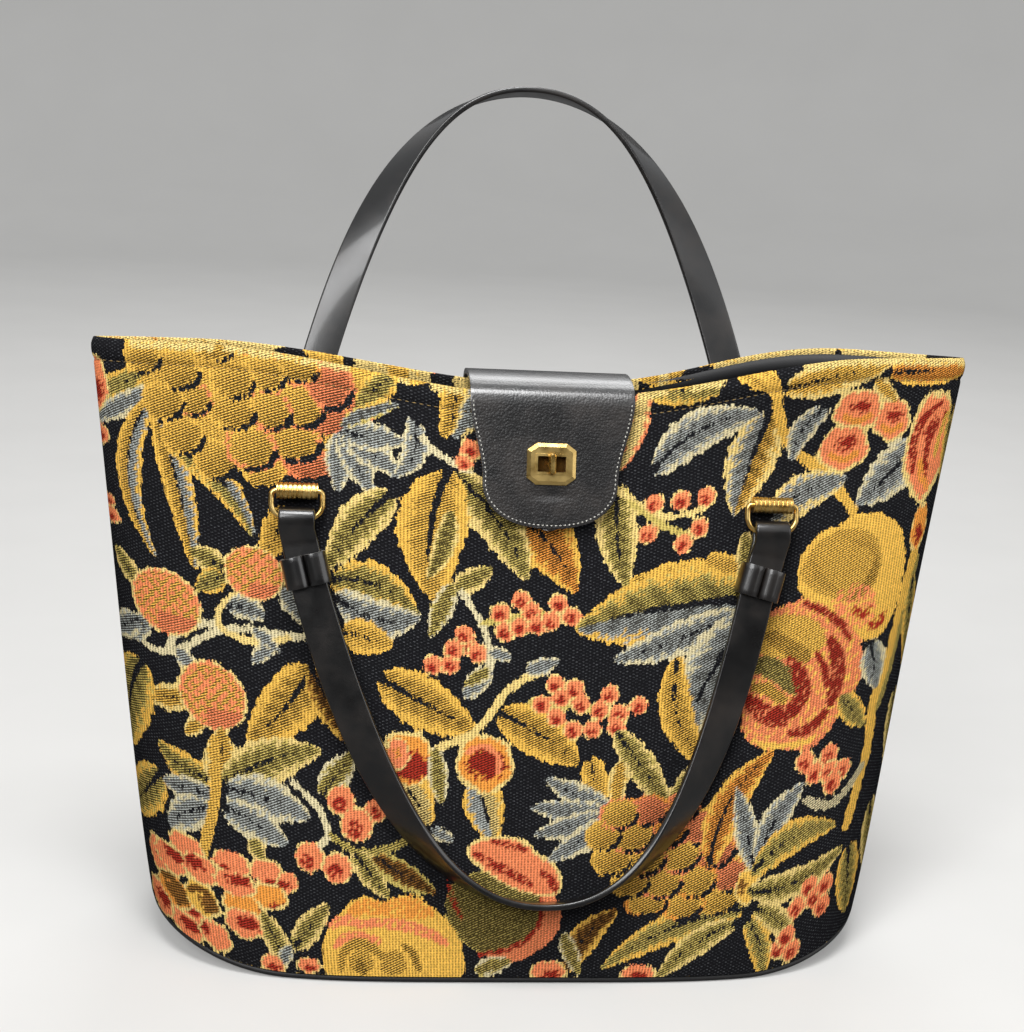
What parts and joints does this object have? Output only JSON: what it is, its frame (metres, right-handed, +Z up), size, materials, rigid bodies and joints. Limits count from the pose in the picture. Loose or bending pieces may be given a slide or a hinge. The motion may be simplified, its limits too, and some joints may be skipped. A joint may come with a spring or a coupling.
{
  "type": "tote bag",
  "caption": "Tapered tapestry tote bag with a dipped rim, a black leather flap held by a brass turn lock, and black leather handles that swing on brass rings.",
  "frame": {"origin": "on the floor under the middle of the base", "axes": "+X to the right as seen from the flap's side, -Y to the front where the flap and lock are, +Z up"},
  "size_m": [0.3998, 0.1827, 0.392],
  "materials": {
    "tapestry": "woven, matte",
    "base_vinyl": "satin",
    "board": "raw fibreboard",
    "lining": "smooth, slight sheen",
    "flap_leather": "pebbled, satin",
    "brass": "antique, polished edges",
    "strap_leather": "smooth, glossy"
  },
  "bodies": {
    "bag": {"front_panel": "tapestry", "back_panel": "tapestry", "base_cover": "base_vinyl", "base_piping": "base_vinyl", "base_board": "board", "lining": "lining", "flap_leather": "flap_leather", "flap_backing": "flap_leather", "lock_plate": "brass", "lock_washer": "brass", "turn_base": "brass", "turn_washer": "brass", "front_clip_left": "brass", "front_clip_right": "brass", "back_clip_left": "brass", "back_clip_right": "brass", "front_clip_washer_left": "brass", "front_clip_washer_right": "brass", "back_clip_washer_left": "brass", "back_clip_washer_right": "brass"},
    "turn": {"turn_button": "brass"},
    "front_rings": {"front_ring_left": "brass", "front_ring_right": "brass"},
    "back_rings": {"back_ring_left": "brass", "back_ring_right": "brass"},
    "front_handle": {"front_strap": "strap_leather", "front_keeper_left": "strap_leather", "front_keeper_right": "strap_leather"},
    "back_handle": {"back_strap": "strap_leather", "back_keeper_left": "strap_leather", "back_keeper_right": "strap_leather"}
  },
  "joints": [
    {"name": "turn_lock", "type": "hinge", "parent": "bag", "child": "turn", "pos_m": [0.005, -0.02409, 0.23133], "axis": [0, -0.9727, 0.232], "range_deg": [0, 90]},
    {"name": "front_rings_swing", "type": "hinge", "parent": "bag", "child": "front_rings", "pos_m": [-0.107, -0.03028, 0.217], "axis": [-1, 0, 0], "range_deg": [0, 156]},
    {"name": "front_handle_swing", "type": "hinge", "parent": "front_rings", "child": "front_handle", "pos_m": [-0.107, -0.03328, 0.20538], "axis": [-1, 0, 0], "range_deg": [0, 12]},
    {"name": "back_rings_swing", "type": "hinge", "parent": "bag", "child": "back_rings", "pos_m": [-0.107, 0.03028, 0.217], "axis": [1, 0, 0], "range_deg": [-146, 10]},
    {"name": "back_handle_swing", "type": "hinge", "parent": "back_rings", "child": "back_handle", "pos_m": [-0.107, 0.03428, 0.22831], "axis": [1, 0, 0], "range_deg": [0, 12]}
  ]
}
